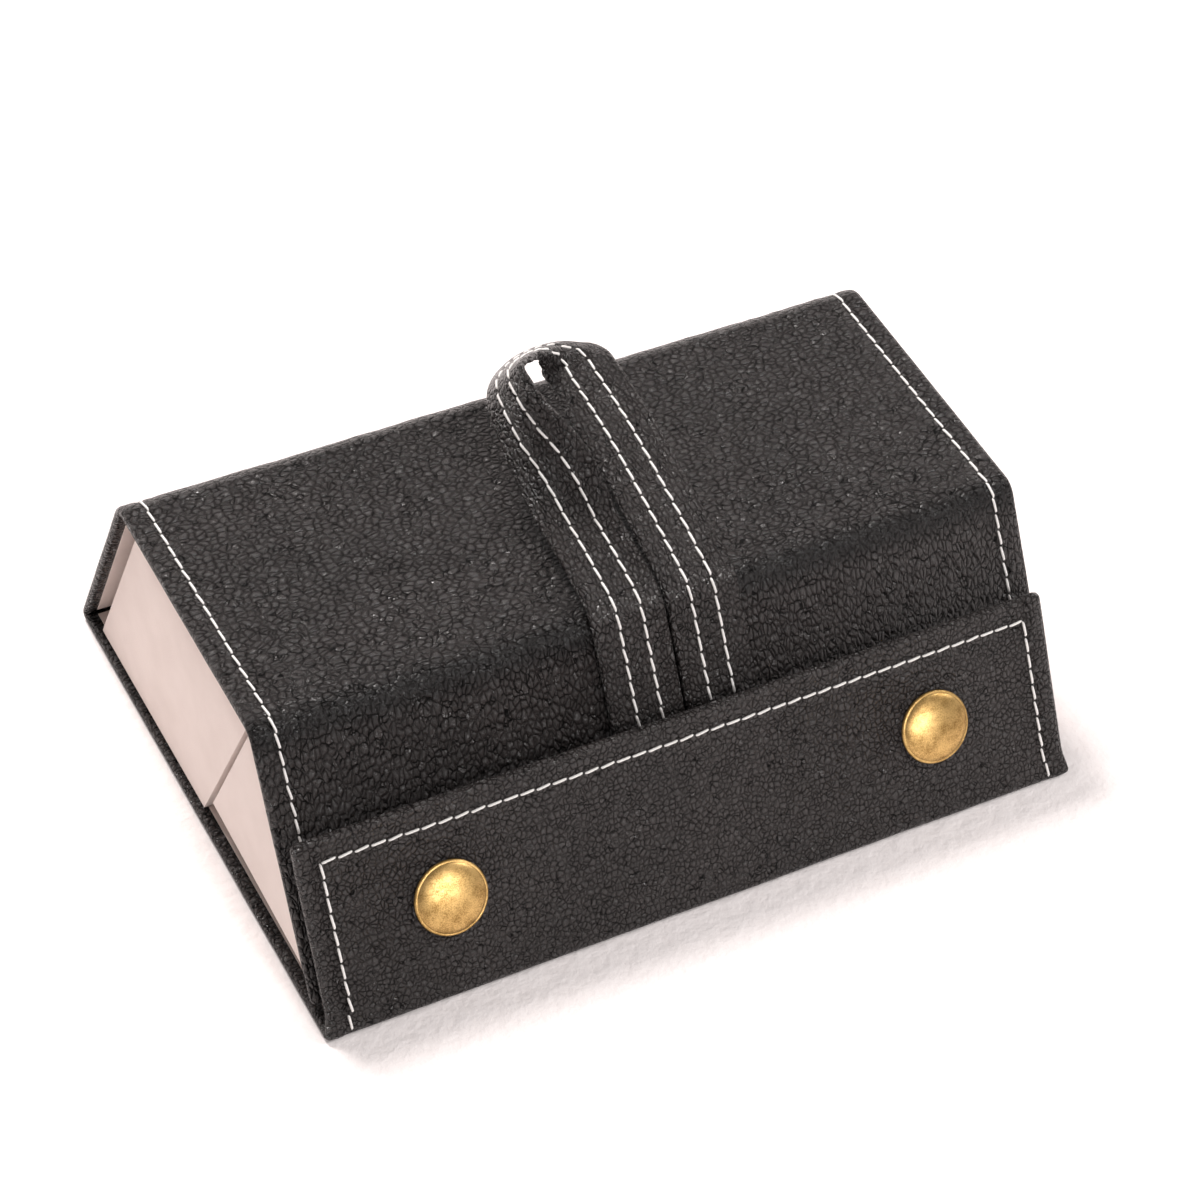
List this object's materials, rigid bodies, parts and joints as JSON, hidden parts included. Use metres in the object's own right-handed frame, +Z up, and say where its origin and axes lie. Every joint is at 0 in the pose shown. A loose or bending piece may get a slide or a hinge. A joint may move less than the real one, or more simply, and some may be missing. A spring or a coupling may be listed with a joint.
{
  "type": "folding jewelry box",
  "caption": "Folding leatherette jewelry box with two lined trays that open from a lined base, a flap closed by brass snaps, and a carrying loop.",
  "frame": {"origin": "centre of the bounding box at the underside of the base", "axes": "+X along the length, -Y to the front with the snap flap, +Z up"},
  "size_m": [0.168, 0.1226, 0.0813],
  "materials": {
    "leather": "pebbled black leatherette, soft sheen, white thread",
    "board": "grey stiffening board, hidden",
    "lining": "short cream flock",
    "thread": "white sewing thread, for the stitches that the looks add",
    "brass": "antique brass plating, speckled patina"
  },
  "bodies": {
    "base": {"base_leather": "leather", "base_board": "board", "base_lining": "lining", "front_fold": "leather", "spine_fold": "leather"},
    "flap": {"flap_leather": "leather", "flap_board": "board", "flap_facing": "leather", "snap_cap_left": "brass", "snap_cap_right": "brass", "snap_socket_left": "brass", "snap_socket_right": "brass"},
    "tray_block": {"cover_leather": "leather", "back_board": "board", "top_board": "board", "front_board": "board", "back_lining": "lining", "rear_tray_left_wall": "lining", "rear_tray_right_wall": "lining", "rear_tray_floor": "lining", "rear_tray_front_wall": "lining", "rear_tray_back_wall": "lining", "front_tray_left_wall": "lining", "front_tray_right_wall": "lining", "front_tray_floor": "lining", "front_tray_back_wall": "lining", "snap_stud_left": "brass", "snap_stud_right": "brass", "snap_rivet_left": "brass", "snap_rivet_right": "brass", "strap_left_run": "leather", "strap_right_run": "leather"},
    "strap_loop": {"strap_loop": "leather"}
  },
  "joints": [
    {"name": "tilt", "type": "hinge", "parent": "base", "child": "tray_block", "pos_m": [0, 0.05955, 0.00175], "axis": [-1, 0, 0], "range_deg": [0, 35], "deforming": ["spine_fold"]},
    {"name": "flap_hinge", "type": "hinge", "parent": "base", "child": "flap", "pos_m": [0, -0.06009, 0.0012], "axis": [1, 0, 0], "range_deg": [0, 112], "deforming": ["front_fold"]},
    {"name": "loop_lift", "type": "hinge", "parent": "tray_block", "child": "strap_loop", "pos_m": [0, -0.02033, 0.05396], "axis": [1, 0, 0], "range_deg": [-8, 95]}
  ],
  "couplings": [
    {"joint": "flap_hinge", "follows": "tilt", "ratio": 3.2}
  ]
}
